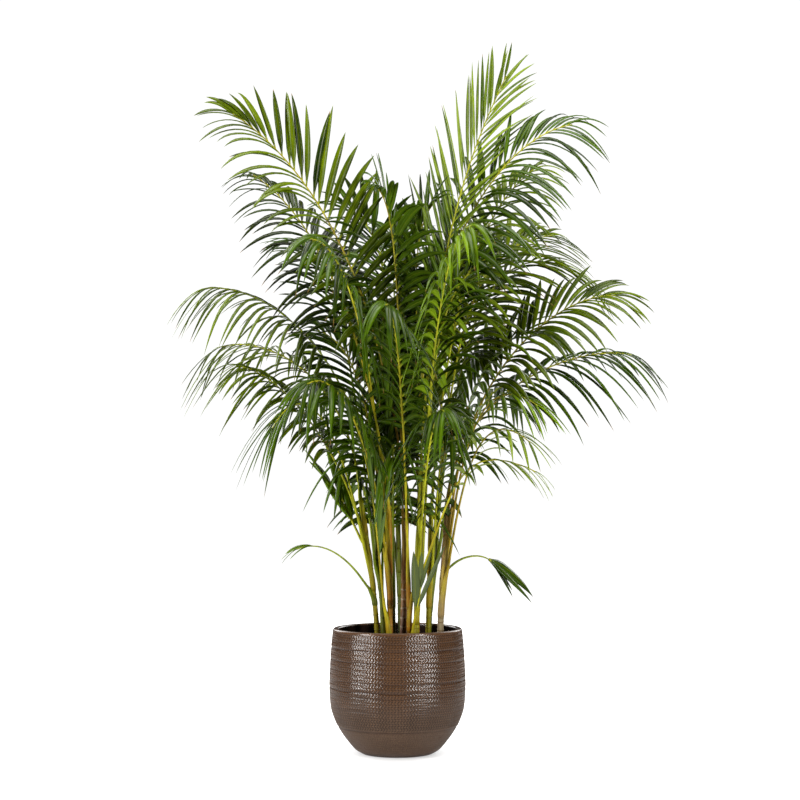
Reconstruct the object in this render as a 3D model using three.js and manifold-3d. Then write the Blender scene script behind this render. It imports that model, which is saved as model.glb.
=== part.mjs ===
// Potted areca palm: a clump of canes with arching feather fronds, standing in
// soil in a round stoneware planter.
// Millimetres, +Z up, origin at the middle of the planter's underside.

import * as THREE from 'three';
import { mergeVertices } from 'three/addons/utils/BufferGeometryUtils.js';
import Module from 'manifold-3d';

const wasm = await Module();
wasm.setup();

// ---- Driving dimensions -------------------------------------------------

const GAP = 0.4; // clearance between neighbouring pieces
const UP = new THREE.Vector3(0, 0, 1);

// Planter: [height, radius] up the outside, from the foot to the rim.
const POT_OUTLINE = [
  [0, 88], [8, 103], [22, 117], [50, 138.5], [80, 155.5], [112, 166.5],
  [155, 170.5], [190, 170.5], [262, 166.5], [312, 161.5],
];
const POT_HEIGHT = 312;
const POT_WALL = 12;
const POT_FLOOR = 16;
const POT_SIDES = 36;
const POT_LEVELS = [0, 8, 22, 38, 56, 78, 102, 130, 172, 215, 262, 306];
const RIM_ROUND = 3.5; // radius of the rounding at the lip
const SOIL_LEVELS = [40, 72, 112, 172]; // heights where the inner wall turns
const SOIL_LEVEL = 252;
const SOIL_RINGS = [0, 0.45, 0.8]; // share of the radius, from the middle out
const SOIL_RELIEF = 5;
const CANE_DEPTH = 60; // how deep the canes stand in the soil
const COLLAR = 262; // height just above the soil, up to where a cane is plain

// Canes: foot at soil level, then top; thick at the foot, thinner at the top.
const CANE_SIDES = 7;
const CANE_NODES = 4; // leaf scars on each cane
const SCAR_SWELL = 0.9;
const CANES = {
  a: { foot: [-47, -22], top: [-93, -38, 640], thick: [7, 4.6] },
  b: { foot: [-18, -52], top: [-20, -60, 600], thick: [7.5, 5] },
  c: { foot: [14, -20], top: [23, -15, 600], thick: [9, 5.5] },
  d: { foot: [47, -60], top: [50, -66, 540], thick: [7, 4.6] },
  e: { foot: [76, -34], top: [84, -38, 600], thick: [7, 4.6] },
  f: { foot: [106, 8], top: [128, 15, 640], thick: [8.5, 5] },
  g: { foot: [-32, 34], top: [-62, 60, 580], thick: [7, 4.6] },
  h: { foot: [8, 55], top: [0, 92, 600], thick: [7, 4.6] },
  i: { foot: [48, 20], top: [56, 33, 580], thick: [7.5, 4.8] },
  j: { foot: [78, 58], top: [100, 92, 560], thick: [7, 4.6] },
  k: { foot: [30, -86], top: [26, -108, 460], thick: [6, 4.4] },
  l: { foot: [-10, 8], top: [-16, 20, 600], thick: [6.5, 4.6] },
};

// How the leaflets of a frond hold themselves: lift above the frond's plane,
// droop under their weight, angle to the rib at its foot and tip, and width.
const HABITS = {
  crown: { lift: 30, droop: 1.1, sweep: [57, 12], width: 23 },
  fan: { lift: 18, droop: 1.15, sweep: [54, 20], width: 19 },
  arch: { lift: 8, droop: 1.5, sweep: [52, 22], width: 16 },
  veil: { lift: 8, droop: 1.9, sweep: [46, 18], width: 15 },
  plume: { lift: 22, droop: 0.45, sweep: [32, 13], width: 20 },
  curtain: { lift: 8, droop: 2.2, sweep: [46, 18], width: 19 },
  sparse: { lift: 8, droop: 1.3, sweep: [50, 22], width: 12 },
  young: { lift: 12, droop: 0.8, sweep: [30, 14], width: 34 },
  spear: { lift: 8, droop: 0.3, sweep: [14, 8], width: 32 },
  paddle: { lift: 4, droop: 0.5, sweep: [14, 10], width: 28 },
};

// Fronds, one to a row: name, the cane and the height where the stalk leaves
// it, the point that the rib makes for, the stalk's lean from upright and the
// tip's pitch in degrees, how strongly the stalk keeps its first direction
// (rise) and comes in to its last (reach) as shares of the span, the roll of
// the feather about its rib in degrees, the share of the rib that is bare
// stalk, the longest leaflet and the habit.
const FROND_ROWS = [
  ['upper_left', 'c', 600, [-515, -110, 1636], 5, 14, 0.57, 0.2, -60, 0.37, 268, 'crown'],
  ['second_left', 'b', 600, [-450, 90, 1490], 6, 10, 0.54, 0.2, -25, 0.42, 215, 'arch'],
  ['left_arch', 'g', 580, [-535, -150, 1125], 3, -40, 0.66, 0.22, -15, 0.45, 225, 'veil'],
  ['left_mid', 'a', 640, [-510, 130, 990], 4, -42, 0.63, 0.25, -15, 0.35, 215, 'veil'],
  ['left_low', 'a', 560, [-440, -70, 955], 14, -34, 0.48, 0.21, -20, 0.35, 180, 'arch'],
  ['left_hook', 'a', 500, [-325, -190, 765], 12, -65, 0.85, 0.65, 0, 0.5, 180, 'veil'],
  ['upper_right', 'd', 540, [330, 120, 1815], 2, 58, 0.55, 0.25, 65, 0.44, 255, 'plume'],
  ['top_right', 'i', 580, [540, -60, 1540], -4, -40, 0.72, 0.2, 50, 0.45, 265, 'arch'],
  ['right_drape', 'e', 600, [435, 110, 1520], 4, 18, 0.63, 0.21, 30, 0.45, 200, 'arch'],
  ['right_fan', 'j', 560, [540, 190, 1160], 7, -38, 0.66, 0.54, 25, 0.42, 240, 'fan'],
  ['right_edge', 'f', 580, [610, -80, 1115], 4, -40, 0.61, 0.22, 35, 0.42, 225, 'fan'],
  ['right_far', 'f', 640, [650, 60, 965], 6, -55, 0.53, 0.2, 20, 0.38, 210, 'arch'],
  ['right_shade', 'e', 540, [480, 190, 1310], 8, -4, 0.53, 0.43, 35, 0.45, 230, 'fan'],
  ['right_low', 'f', 500, [375, -190, 835], 9, -40, 0.63, 0.58, 10, 0.42, 170, 'sparse'],
  ['right_lower', 'f', 430, [350, -240, 745], 12, -40, 0.62, 0.6, 0, 0.45, 145, 'sparse'],
  ['right_lowest', 'k', 400, [385, -160, 680], 22, -30, 0.64, 0.64, 0, 0.48, 120, 'sparse'],
  ['front_left', 'b', 540, [-250, -380, 1230], 6, -35, 0.6, 0.3, -40, 0.42, 230, 'curtain'],
  ['front_mid', 'k', 460, [-40, -430, 1060], 6, -45, 0.6, 0.35, -35, 0.45, 215, 'curtain'],
  ['front_right', 'd', 480, [210, -400, 1260], 6, -35, 0.6, 0.3, 40, 0.42, 230, 'curtain'],
  ['front_high', 'c', 520, [-90, -260, 1390], 4, -20, 0.6, 0.3, -45, 0.48, 240, 'crown'],
  ['front_low_left', 'b', 460, [-240, -390, 880], 9, -45, 0.6, 0.35, -25, 0.42, 185, 'curtain'],
  ['front_low_right', 'd', 420, [120, -380, 820], 10, -45, 0.6, 0.35, 25, 0.45, 185, 'curtain'],
  ['mid_left', 'l', 600, [-215, 30, 1400], 2, 5, 0.55, 0.3, -60, 0.48, 240, 'crown'],
  ['mid_right', 'i', 500, [150, -90, 1400], 3, 0, 0.55, 0.3, 60, 0.48, 240, 'crown'],
  ['back_left', 'g', 510, [-330, 370, 1290], 10, -25, 0.6, 0.3, -10, 0.42, 230, 'fan'],
  ['back_mid', 'h', 600, [-30, 430, 1330], 5, -30, 0.6, 0.3, 0, 0.44, 230, 'fan'],
  ['back_right', 'j', 500, [280, 430, 1320], 10, -25, 0.6, 0.3, 10, 0.42, 230, 'fan'],
  ['back_low_left', 'h', 480, [-270, 430, 900], 10, -45, 0.55, 0.35, 0, 0.42, 195, 'curtain'],
  ['back_low_mid', 'h', 540, [60, 500, 960], 9, -40, 0.6, 0.35, 0, 0.42, 195, 'curtain'],
  ['back_low_right', 'j', 440, [350, 410, 880], 15, -45, 0.6, 0.35, 0, 0.42, 195, 'curtain'],
  ['left_young', 'a', 520, [-180, 15, 690], 30, 45, 0.35, 0.3, -30, 0.35, 190, 'spear'],
  ['left_small', 'a', 410, [-270, -60, 500], 30, -35, 0.45, 0.4, -10, 0.75, 90, 'young'],
  ['right_small', 'f', 455, [250, 60, 458], 35, -64, 0.35, 0.42, 60, 0.8, 180, 'paddle'],
  ['low_blade', 'k', 300, [58, -130, 430], 10, 80, 0.4, 0.3, 10, 0.5, 230, 'spear'],
  ['inner_left', 'l', 520, [-150, -90, 1150], 3, 20, 0.55, 0.3, -50, 0.3, 230, 'plume'],
  ['inner_right', 'i', 440, [110, 170, 1160], 7, 20, 0.55, 0.3, 50, 0.32, 230, 'plume'],
  ['inner_mid', 'l', 470, [10, 130, 1100], 3, 20, 0.55, 0.3, 20, 0.3, 230, 'plume'],
  ['low_left', 'g', 460, [-150, -20, 680], 5, -78, 0.9, 0.6, -20, 0.3, 160, 'curtain'],
  ['low_mid', 'l', 430, [-10, -120, 700], 5, -78, 0.95, 0.6, -20, 0.3, 210, 'curtain'],
  ['low_right', 'e', 440, [150, -150, 740], 5, -75, 0.9, 0.6, 20, 0.32, 160, 'curtain'],
  ['low_back', 'g', 380, [-20, 250, 850], 5, -30, 0.6, 0.3, 0, 0.3, 200, 'curtain'],
  ['inner_low_left', 'b', 460, [-260, 70, 1060], 5, -10, 0.55, 0.3, -30, 0.32, 230, 'fan'],
  ['right_mid', 'j', 470, [430, -40, 1030], 7, -30, 0.6, 0.35, 30, 0.36, 240, 'fan'],
  ['right_inner', 'd', 450, [300, -40, 1270], 4, 15, 0.55, 0.3, 50, 0.36, 240, 'crown'],
  ['low_upright', 'b', 340, [-120, -110, 850], 8, 60, 0.4, 0.3, -40, 0.3, 230, 'plume'],
];

const RIB_HALF = [4, 1.8]; // half width of a rib, at its foot and at its tip
const RIB_END = 0.9; // share of the span where the rib ends in its last leaflets
const STALK_STEPS = 6;
const PAIR_PITCH = 54; // spacing of the leaflet pairs
const ROOT_LENGTH = 7; // how much of the rib a leaflet springs from
const BLADE_SHAPE = 0.2; // most width that a blade has for its length
const BLADE_RIDGE = 2; // height of the midrib above the blade's edges
const SHORT_BLADE = 120; // shorter leaflets have one bend less
const UPRIGHT_DROOP = 0.2; // share of its droop that a leaflet growing upright keeps

const COLOURS = {
  pot: [0x5d473a, 0.35, 0.0],
  soil: [0x2a1f18, 0.95, 0.0],
  cane: [0x9a9a35, 0.5, 0.0],
  frond: [0x2f5a14, 0.45, 0.0],
};

// ---- Helpers --------------------------------------------------------------

const radians = THREE.MathUtils.degToRad;
const lerp = THREE.MathUtils.lerp;

// Seeded draws between -1 and 1.
function dice(seed) {
  let state = seed;
  return () => {
    state = (state * 16807) % 2147483647;
    return (state / 2147483647) * 2 - 1;
  };
}

function finish(colourName) {
  const [color, roughness, metalness] = COLOURS[colourName];
  return new THREE.MeshStandardMaterial({ color, roughness, metalness });
}

function named(name, geometry, colourName) {
  const mesh = new THREE.Mesh(geometry, finish(colourName));
  mesh.name = name;
  return mesh;
}

// Closed surface from a list of points and triangles.
function closedGeometry(points, faces) {
  const geometry = new THREE.BufferGeometry();
  const positions = points.flatMap((p) => [p.x, p.y, p.z]);
  geometry.setAttribute('position', new THREE.Float32BufferAttribute(positions, 3));
  geometry.setIndex(faces.flat());
  return geometry;
}

function toSolid(geometry) {
  const bare = geometry.clone();
  bare.deleteAttribute('normal');
  bare.deleteAttribute('uv');
  const welded = mergeVertices(bare, 1e-4);
  const vertProperties = Float32Array.from(welded.attributes.position.array);
  const triVerts = Uint32Array.from(welded.index.array);
  return new wasm.Manifold(new wasm.Mesh({ numProp: 3, vertProperties, triVerts }));
}

function toGeometry(solid) {
  const mesh = solid.getMesh();
  const geometry = new THREE.BufferGeometry();
  geometry.setAttribute('position', new THREE.Float32BufferAttribute(mesh.vertProperties, 3));
  geometry.setIndex(Array.from(mesh.triVerts));
  return geometry;
}

// Body of revolution about Z from [radius, height] points, listed from the
// bottom of the axis round the outside to the top of the axis.
function turned(outline, sides) {
  const profile = outline.map(([r, z]) => new THREE.Vector2(r, z));
  return new THREE.LatheGeometry(profile, sides).rotateX(Math.PI / 2);
}

// ---- Planter and soil -----------------------------------------------------

// Radius of the planter's outside at a height: a smooth curve through the outline.
function potRadius(z) {
  const last = POT_OUTLINE.length - 1;
  const found = POT_OUTLINE.findIndex(([height]) => height > z);
  const k = found === -1 ? last - 1 : Math.max(found - 1, 0);
  const slope = (i) => {
    const [z0, r0] = POT_OUTLINE[Math.max(i - 1, 0)];
    const [z1, r1] = POT_OUTLINE[Math.min(i + 1, last)];
    return (r1 - r0) / (z1 - z0);
  };
  const [z0, r0] = POT_OUTLINE[k];
  const [z1, r1] = POT_OUTLINE[k + 1];
  const step = z1 - z0;
  const t = (z - z0) / step;
  const start = (1 + 2 * t) * (1 - t) ** 2 * r0 + t * (1 - t) ** 2 * step * slope(k);
  const end = t * t * (3 - 2 * t) * r1 + t * t * (t - 1) * step * slope(k + 1);
  return start + end;
}

function innerRadius(z) {
  return potRadius(z) - POT_WALL;
}

function planter() {
  const outside = POT_LEVELS.map((z) => [potRadius(z), z]);
  const inside = [...SOIL_LEVELS, SOIL_LEVEL].map((z) => [innerRadius(z), z]);
  const lip = POT_HEIGHT - RIM_ROUND;
  const rim = [
    [potRadius(POT_HEIGHT) - RIM_ROUND, POT_HEIGHT],
    [innerRadius(POT_HEIGHT) + RIM_ROUND, POT_HEIGHT],
    [innerRadius(lip), lip],
  ];
  const floor = [[innerRadius(POT_FLOOR + 10), POT_FLOOR], [0, POT_FLOOR]];
  return turned([[0, 0], ...outside, ...rim, ...inside.reverse(), ...floor], POT_SIDES);
}

function soilHeight(x, y) {
  const wave = Math.sin(x / 19 + 1) * Math.cos(y / 23) + Math.sin((x + y) / 37);
  return SOIL_LEVEL + (SOIL_RELIEF / 2) * wave;
}

function soil() {
  const side = SOIL_LEVELS.map((z) => [innerRadius(z) - 1.5 * GAP, z]);
  const edge = [innerRadius(SOIL_LEVEL) - 1.5 * GAP, SOIL_LEVEL];
  const bottom = [[0, POT_FLOOR + GAP], [innerRadius(POT_FLOOR + 10) - 1.5 * GAP, POT_FLOOR + GAP]];
  const surface = SOIL_RINGS.map((share) => [share * edge[0], SOIL_LEVEL]).reverse();
  const geometry = turned([...bottom, ...side, edge, ...surface], POT_SIDES);
  const position = geometry.attributes.position;
  for (let i = 0; i < position.count; i += 1) {
    const reach = Math.hypot(position.getX(i), position.getY(i));
    if (position.getZ(i) === SOIL_LEVEL && reach < edge[0] - 1) {
      position.setZ(i, soilHeight(position.getX(i), position.getY(i)));
    }
  }
  return geometry;
}

// ---- Canes ----------------------------------------------------------------

// Middle of a cane at a height; canes bow outwards towards the top.
function caneMiddle(cane, z) {
  const t = (z - SOIL_LEVEL) / (cane.top[2] - SOIL_LEVEL);
  const bow = t < 0 ? t / 2 : (t * t + t) / 2;
  const x = lerp(cane.foot[0], cane.top[0], bow);
  const y = lerp(cane.foot[1], cane.top[1], bow);
  return new THREE.Vector3(x, y, z);
}

function caneRadius(cane, z) {
  const t = (z - SOIL_LEVEL) / (cane.top[2] - SOIL_LEVEL);
  return lerp(cane.thick[0], cane.thick[1], Math.max(t, 0));
}

// The stretch of a cane that stands in the soil, wider by margin: [radius, height].
function caneFoot(cane, from, margin) {
  return [from, COLLAR].map((z) => [caneRadius(cane, z) + margin, z]);
}

// The rest of the cane, swollen at each leaf scar.
function caneStem(cane) {
  const internode = (cane.top[2] - COLLAR) / CANE_NODES;
  const stem = [];
  for (let i = 0; i < CANE_NODES; i += 1) {
    const scar = COLLAR + internode * (i + 0.5);
    const above = COLLAR + internode * (i + 1);
    stem.push([caneRadius(cane, scar) + SCAR_SWELL, scar], [caneRadius(cane, above), above]);
  }
  return stem;
}

// A round solid of the given outline that follows the cane's bow.
function alongCane(cane, outline) {
  const [bottom, top] = [outline[0][1], outline.at(-1)[1]];
  const geometry = turned([[0, bottom], ...outline, [0, top]], CANE_SIDES);
  const position = geometry.attributes.position;
  for (let i = 0; i < position.count; i += 1) {
    const middle = caneMiddle(cane, position.getZ(i));
    position.setXY(i, position.getX(i) + middle.x, position.getY(i) + middle.y);
  }
  return geometry;
}

// ---- Fronds ---------------------------------------------------------------

function readFrond(row, index) {
  const [name, caneName, height, tip, lean, pitch, rise, reach, roll, bare, leaflet, habit] = row;
  return {
    name, height, lean, pitch, rise, reach, roll, bare, leaflet,
    cane: CANES[caneName],
    tip: new THREE.Vector3(...tip),
    ...HABITS[habit],
    draw: dice(4099 + 131 * index),
  };
}

// The rib's curve: from beside the cane, or from its top, to the frond's tip.
function ribCurve(frond) {
  const foot = caneMiddle(frond.cane, frond.height);
  const heading = frond.tip.clone().sub(foot).setZ(0).normalize();
  if (frond.height < frond.cane.top[2]) {
    const clear = caneRadius(frond.cane, frond.height) + SCAR_SWELL + RIB_HALF[0] + 2 * GAP;
    foot.addScaledVector(heading, clear);
  } else {
    foot.z += 3 * GAP;
  }
  const span = foot.distanceTo(frond.tip);
  const [lean, pitch] = [radians(frond.lean), radians(frond.pitch)];
  const start = foot.clone();
  start.addScaledVector(heading, Math.sin(lean) * frond.rise * span);
  start.addScaledVector(UP, Math.cos(lean) * frond.rise * span);
  const end = frond.tip.clone();
  end.addScaledVector(heading, -Math.cos(pitch) * frond.reach * span);
  end.addScaledVector(UP, -Math.sin(pitch) * frond.reach * span);
  const curve = new THREE.CubicBezierCurve3(foot, start, end, frond.tip);
  return { curve, heading };
}

// One place on the rib: point, run (along the rib), side (to its left) and face
// (its upper side).
function ribPlace(frond, rib, share) {
  const point = rib.curve.getPointAt(share);
  const run = rib.curve.getTangentAt(share);
  const level = new THREE.Vector3().crossVectors(UP, rib.heading);
  const rise = new THREE.Vector3().crossVectors(run, level);
  const roll = radians(frond.roll) * Math.min(share / frond.bare, 1);
  const side = level.clone().multiplyScalar(Math.cos(roll)).addScaledVector(rise, Math.sin(roll));
  const face = new THREE.Vector3().crossVectors(run, side);
  return { point, run, side, face, half: lerp(RIB_HALF[0], RIB_HALF[1], share) };
}

// The rib's three corners at a place: top, right, left.
function ribCorners({ point, side, face, half }) {
  const top = point.clone().addScaledVector(face, half);
  const right = point.clone().addScaledVector(side, -half).addScaledVector(face, -half * 0.6);
  const left = point.clone().addScaledVector(side, half).addScaledVector(face, -half * 0.6);
  return [top, right, left];
}

// Sections of a leaflet from its first bend to its tip. The more level it grows,
// the more its weight bends it. Each section has three corners in the order of
// its root: back edge, front edge, midrib on the right-hand side of the rib, and
// back edge, midrib, front edge on the left.
function leafletSections(place, root, leaflet, hand, swell) {
  const sweep = radians(leaflet.sweep);
  const lift = radians(leaflet.lift);
  const out = place.side.clone().multiplyScalar(hand * Math.cos(lift));
  out.addScaledVector(place.face, Math.sin(lift));
  const aim = place.run.clone().multiplyScalar(Math.cos(sweep)).addScaledVector(out, Math.sin(sweep));
  const across = place.run.clone().addScaledVector(aim, -place.run.dot(aim)).normalize();
  const droop = leaflet.droop * lerp(UPRIGHT_DROOP, 1, Math.hypot(aim.x, aim.y));
  const middle = new THREE.Vector3().add(root[0]).add(root[1]).add(root[2]).divideScalar(3);
  const stops = leaflet.length < SHORT_BLADE ? [0.45] : [0.3, 0.7];
  const bend = new THREE.Quaternion();
  const at = (u) => {
    const centre = middle.clone().addScaledVector(aim, leaflet.length * u);
    return centre.addScaledVector(UP, -leaflet.length * droop * u * u / 2);
  };
  const sections = stops.map((u) => {
    const along = aim.clone().addScaledVector(UP, -droop * u).normalize();
    const wide = across.clone().applyQuaternion(bend.setFromUnitVectors(aim, along));
    const face = new THREE.Vector3().crossVectors(wide, along).multiplyScalar(hand);
    const half = leaflet.width * (u < 0.5 ? 0.5 : 0.36) + swell;
    const centre = at(u);
    const back = centre.clone().addScaledVector(wide, -half).addScaledVector(face, -swell);
    const front = centre.clone().addScaledVector(wide, half).addScaledVector(face, -swell);
    const ridge = centre.clone().addScaledVector(face, BLADE_RIDGE + swell);
    return hand < 0 ? [back, front, ridge] : [back, ridge, front];
  });
  return { sections, tip: at(1) };
}

// Two triangles over a four-cornered patch, split so that the patch bulges outwards.
function patch(points, a, b, c, d) {
  const [pa, pb, pc, pd] = [a, b, c, d].map((i) => points[i]);
  const normal = pb.clone().sub(pa).cross(pc.clone().sub(pa));
  const above = normal.dot(pd.clone().sub(pa)) > 0;
  return above ? [[a, b, d], [b, c, d]] : [[a, b, c], [a, c, d]];
}

// Skin of a leaflet between its root corners and its tip, as triangles on the
// given list of points.
function skinLeaflet(points, rootIndices, blade) {
  const faces = [];
  let ring = rootIndices;
  for (const section of blade.sections) {
    const next = section.map((corner) => points.push(corner) - 1);
    for (let i = 0; i < 3; i += 1) {
      const j = (i + 1) % 3;
      faces.push(...patch(points, ring[i], ring[j], next[j], next[i]));
    }
    ring = next;
  }
  const tip = points.push(blade.tip) - 1;
  for (let i = 0; i < 3; i += 1) {
    faces.push([ring[i], ring[(i + 1) % 3], tip]);
  }
  return faces;
}

// A leaflet alone, closed at its root: stands for it when it is tried for room.
function looseLeaflet(root, blade) {
  const points = root.map((corner) => corner.clone());
  const faces = [[0, 2, 1], ...skinLeaflet(points, [0, 1, 2], blade)];
  return closedGeometry(points, faces);
}

// The places along a rib: bare stalk, then two places for each leaflet pair.
function ribPlaces(frond, rib) {
  const length = rib.curve.getLength();
  const shares = [];
  for (let i = 0; i < STALK_STEPS; i += 1) {
    shares.push((frond.bare * i) / STALK_STEPS);
  }
  const feather = RIB_END - frond.bare;
  const pairs = Math.max(2, Math.round((feather * length) / PAIR_PITCH));
  const roots = [];
  for (let i = 0; i < pairs; i += 1) {
    const share = frond.bare + (feather * i) / (pairs - 1);
    roots.push({ first: shares.length, growth: i / (pairs - 1) });
    shares.push(share - ROOT_LENGTH / length, share);
  }
  return { places: shares.map((share) => ribPlace(frond, rib, share)), roots };
}

function ribGeometry(places) {
  const points = places.flatMap(ribCorners);
  const faces = [[0, 2, 1]];
  for (let k = 0; k + 1 < places.length; k += 1) {
    for (let i = 0; i < 3; i += 1) {
      const j = (i + 1) % 3;
      const [a, b] = [3 * k, 3 * k + 3];
      faces.push([a + i, a + j, b + j], [a + i, b + j, b + i]);
    }
  }
  const end = 3 * places.length - 3;
  faces.push([end, end + 1, end + 2]);
  return closedGeometry(points, faces);
}

// Leaflet length along the feather: longest a third of the way up.
function leafletShare(growth) {
  return 0.8 + 1.1 * growth - 1.45 * growth * growth;
}

// ---- Room between the pieces ----------------------------------------------

const placed = []; // { owner, solid, box } of all that leaflets must keep clear of

function remember(owner, geometry) {
  geometry.computeBoundingBox();
  placed.push({ owner, solid: toSolid(geometry), box: geometry.boundingBox.clone() });
}

function isClear(geometry, others) {
  geometry.computeBoundingBox();
  const near = others.filter(({ box }) => box.intersectsBox(geometry.boundingBox));
  if (near.length === 0) {
    return true;
  }
  const trial = toSolid(geometry);
  const clear = near.every(({ solid }) => {
    const shared = trial.intersect(solid);
    const empty = shared.isEmpty();
    shared.delete();
    return empty;
  });
  trial.delete();
  return clear;
}

// Ways a leaflet may bend to keep clear: change of droop, sweep and length.
const BENDS = [
  [0, 0, 1], [0.3, 0, 1], [-0.25, 0, 1], [0, -8, 1], [0, 8, 1], [0.5, 5, 0.9],
  [-0.4, -5, 0.9], [0.2, -12, 0.75], [-0.2, 12, 0.75], [0, 0, 0.6],
];

// The leaflet that grows from a root, bent clear of all that is placed, or
// nothing where there is no room.
function growLeaflet(frond, place, root, hand, growth) {
  const own = {
    sweep: lerp(...frond.sweep, growth * growth) + 3 * frond.draw(),
    lift: frond.lift + 5 * frond.draw(),
    droop: frond.droop * (1 + 0.2 * frond.draw()),
    length: frond.leaflet * leafletShare(growth) * (1 + 0.07 * frond.draw()),
  };
  for (const [droop, sweep, share] of BENDS) {
    const leaflet = {
      sweep: own.sweep + sweep,
      lift: own.lift,
      droop: own.droop + droop,
      length: own.length * share,
      width: Math.min(frond.width, own.length * BLADE_SHAPE) * (1 - 0.25 * growth),
    };
    const tried = leafletSections(place, root, leaflet, hand, GAP);
    const others = placed.filter(({ owner }) => owner !== frond.name);
    const kin = placed.filter(({ owner }) => owner === frond.name);
    const neck = tried.sections[0].map((corner, i) => root[i].clone().lerp(corner, 0.3));
    if (isClear(looseLeaflet(root, tried), others) && isClear(looseLeaflet(neck, tried), kin)) {
      return leafletSections(place, root, leaflet, hand, 0);
    }
  }
  return null;
}

// One frond: the rib with its leaflets, as one closed surface. On a side where
// a leaflet grows, the rib's face is left open in the shape of its root.
function frondGeometry(frond, places, roots) {
  const points = places.flatMap(ribCorners);
  const faces = [[0, 2, 1]];
  const grown = new Set();
  for (const { first, growth } of roots) {
    const [a, b] = [3 * first, 3 * first + 3];
    const rightRoot = [a + 1, b + 1, b];
    const leftRoot = [a + 2, b, b + 2];
    for (const [hand, root] of [[-1, rightRoot], [1, leftRoot]]) {
      const corners = root.map((i) => points[i]);
      const blade = growLeaflet(frond, places[first + 1], corners, hand, growth);
      if (blade) {
        remember(frond.name, looseLeaflet(corners, blade));
        faces.push(...skinLeaflet(points, root, blade));
        grown.add(`${first} ${hand}`);
      }
    }
  }
  for (let k = 0; k + 1 < places.length; k += 1) {
    const [a, b] = [3 * k, 3 * k + 3];
    faces.push([a, a + 1, b], [a + 1, a + 2, b + 2], [a + 1, b + 2, b + 1], [a + 2, a, b]);
    if (!grown.has(`${k} -1`)) {
      faces.push([a + 1, b + 1, b]);
    }
    if (!grown.has(`${k} 1`)) {
      faces.push([a + 2, b, b + 2]);
    }
  }
  const end = 3 * places.length - 3;
  faces.push([end, end + 1, end + 2]);
  return closedGeometry(points, faces);
}

// ---- The plant ------------------------------------------------------------

const group = new THREE.Group();
group.add(named('pot', planter(), 'pot'));

let soilSolid = toSolid(soil());
for (const [name, cane] of Object.entries(CANES)) {
  const depth = SOIL_LEVEL - CANE_DEPTH;
  const hole = alongCane(cane, caneFoot(cane, depth, GAP));
  soilSolid = soilSolid.subtract(toSolid(hole.translate(0, 0, -GAP)));
  const stem = alongCane(cane, [...caneFoot(cane, depth, 0), ...caneStem(cane)]);
  remember(`cane_${name}`, stem);
  group.add(named(`cane_${name}`, stem, 'cane'));
}
group.add(named('soil', toGeometry(soilSolid), 'soil'));

const fronds = FROND_ROWS.map(readFrond);
const layouts = fronds.map((frond) => ribPlaces(frond, ribCurve(frond)));
fronds.forEach((frond, i) => remember(frond.name, ribGeometry(layouts[i].places)));
fronds.forEach((frond, i) => {
  const { places, roots } = layouts[i];
  group.add(named(`frond_${frond.name}`, frondGeometry(frond, places, roots), 'frond'));
});

export default group;
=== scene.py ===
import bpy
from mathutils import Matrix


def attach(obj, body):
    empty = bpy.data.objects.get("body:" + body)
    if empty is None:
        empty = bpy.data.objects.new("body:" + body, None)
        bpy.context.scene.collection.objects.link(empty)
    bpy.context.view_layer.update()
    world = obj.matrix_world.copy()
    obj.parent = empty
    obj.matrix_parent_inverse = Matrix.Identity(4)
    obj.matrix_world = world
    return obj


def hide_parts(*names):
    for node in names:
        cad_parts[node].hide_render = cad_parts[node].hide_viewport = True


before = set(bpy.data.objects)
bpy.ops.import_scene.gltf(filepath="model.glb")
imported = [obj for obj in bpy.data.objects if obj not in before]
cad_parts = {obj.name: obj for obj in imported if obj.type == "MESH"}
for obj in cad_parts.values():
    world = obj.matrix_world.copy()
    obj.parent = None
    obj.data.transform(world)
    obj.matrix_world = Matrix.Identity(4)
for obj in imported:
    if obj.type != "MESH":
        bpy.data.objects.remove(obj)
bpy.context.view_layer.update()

# Potted areca palm, dressed: glazed planter with thrown ridges and stamped dashes,
# soil with bark, ringed canes with their leaf sheaths, and feather fronds.
# Sizes are in millimetres, Z up, from the middle of the planter's underside.

import math
from collections import namedtuple

import bpy
import numpy as np
from mathutils import Vector

MM = 0.001
UP = np.array([0.0, 0.0, 1.0])

# ---- Planter ---------------------------------------------------------------

POT_OUTLINE = (
    (0, 88), (8, 103), (22, 117), (50, 138.5), (80, 155.5), (112, 166.5),
    (155, 170.5), (190, 170.5), (262, 166.5), (312, 161.5),
)
POT_HEIGHT = 312.0
POT_WALL = 12.0
POT_FLOOR = 16.0
LIP_ROUND = 5.0
SOIL_LEVEL = 252.0
POT_ROW = 1.5  # height of one row of the planter's surface

# Thrown grooves round the wall: height, depth, and half width of each.
GROOVES = (
    (68, 0.8, 2.0), (120, 0.25, 3.0), (152, 0.35, 2.4), (166, 0.7, 2.4), (187, 0.6, 2.4),
    (214, 0.35, 2.2), (236, 0.6, 2.2), (266, 0.7, 2.4), (284, 0.35, 2.0),
)
GROOVE_WANDER = 0.9  # how far a groove strays up and down on its way round
DASH_ROW = 6.0  # height of a row of stamped dashes
DASH_COUNT = 137  # dashes in a row, all the way round
DASH_STEPS = 4  # columns of the planter's surface in each dash
DASH_DEPTH = 1.3
DASH_LEAN = 0.8  # how far a dash leans over its row, in dash pitches
DASH_ZONE = (69.0, 310.0)  # heights between which the dashes are at full depth
FAINT_DASH = 0.4  # depth of the dashes below that zone, as a share

SOIL_SEED = 31
BARK_CHIPS = 420
BARK_REACH = 138.0  # furthest bark chip from the planter's axis

# ---- Canes and fronds -------------------------------------------------------

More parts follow.
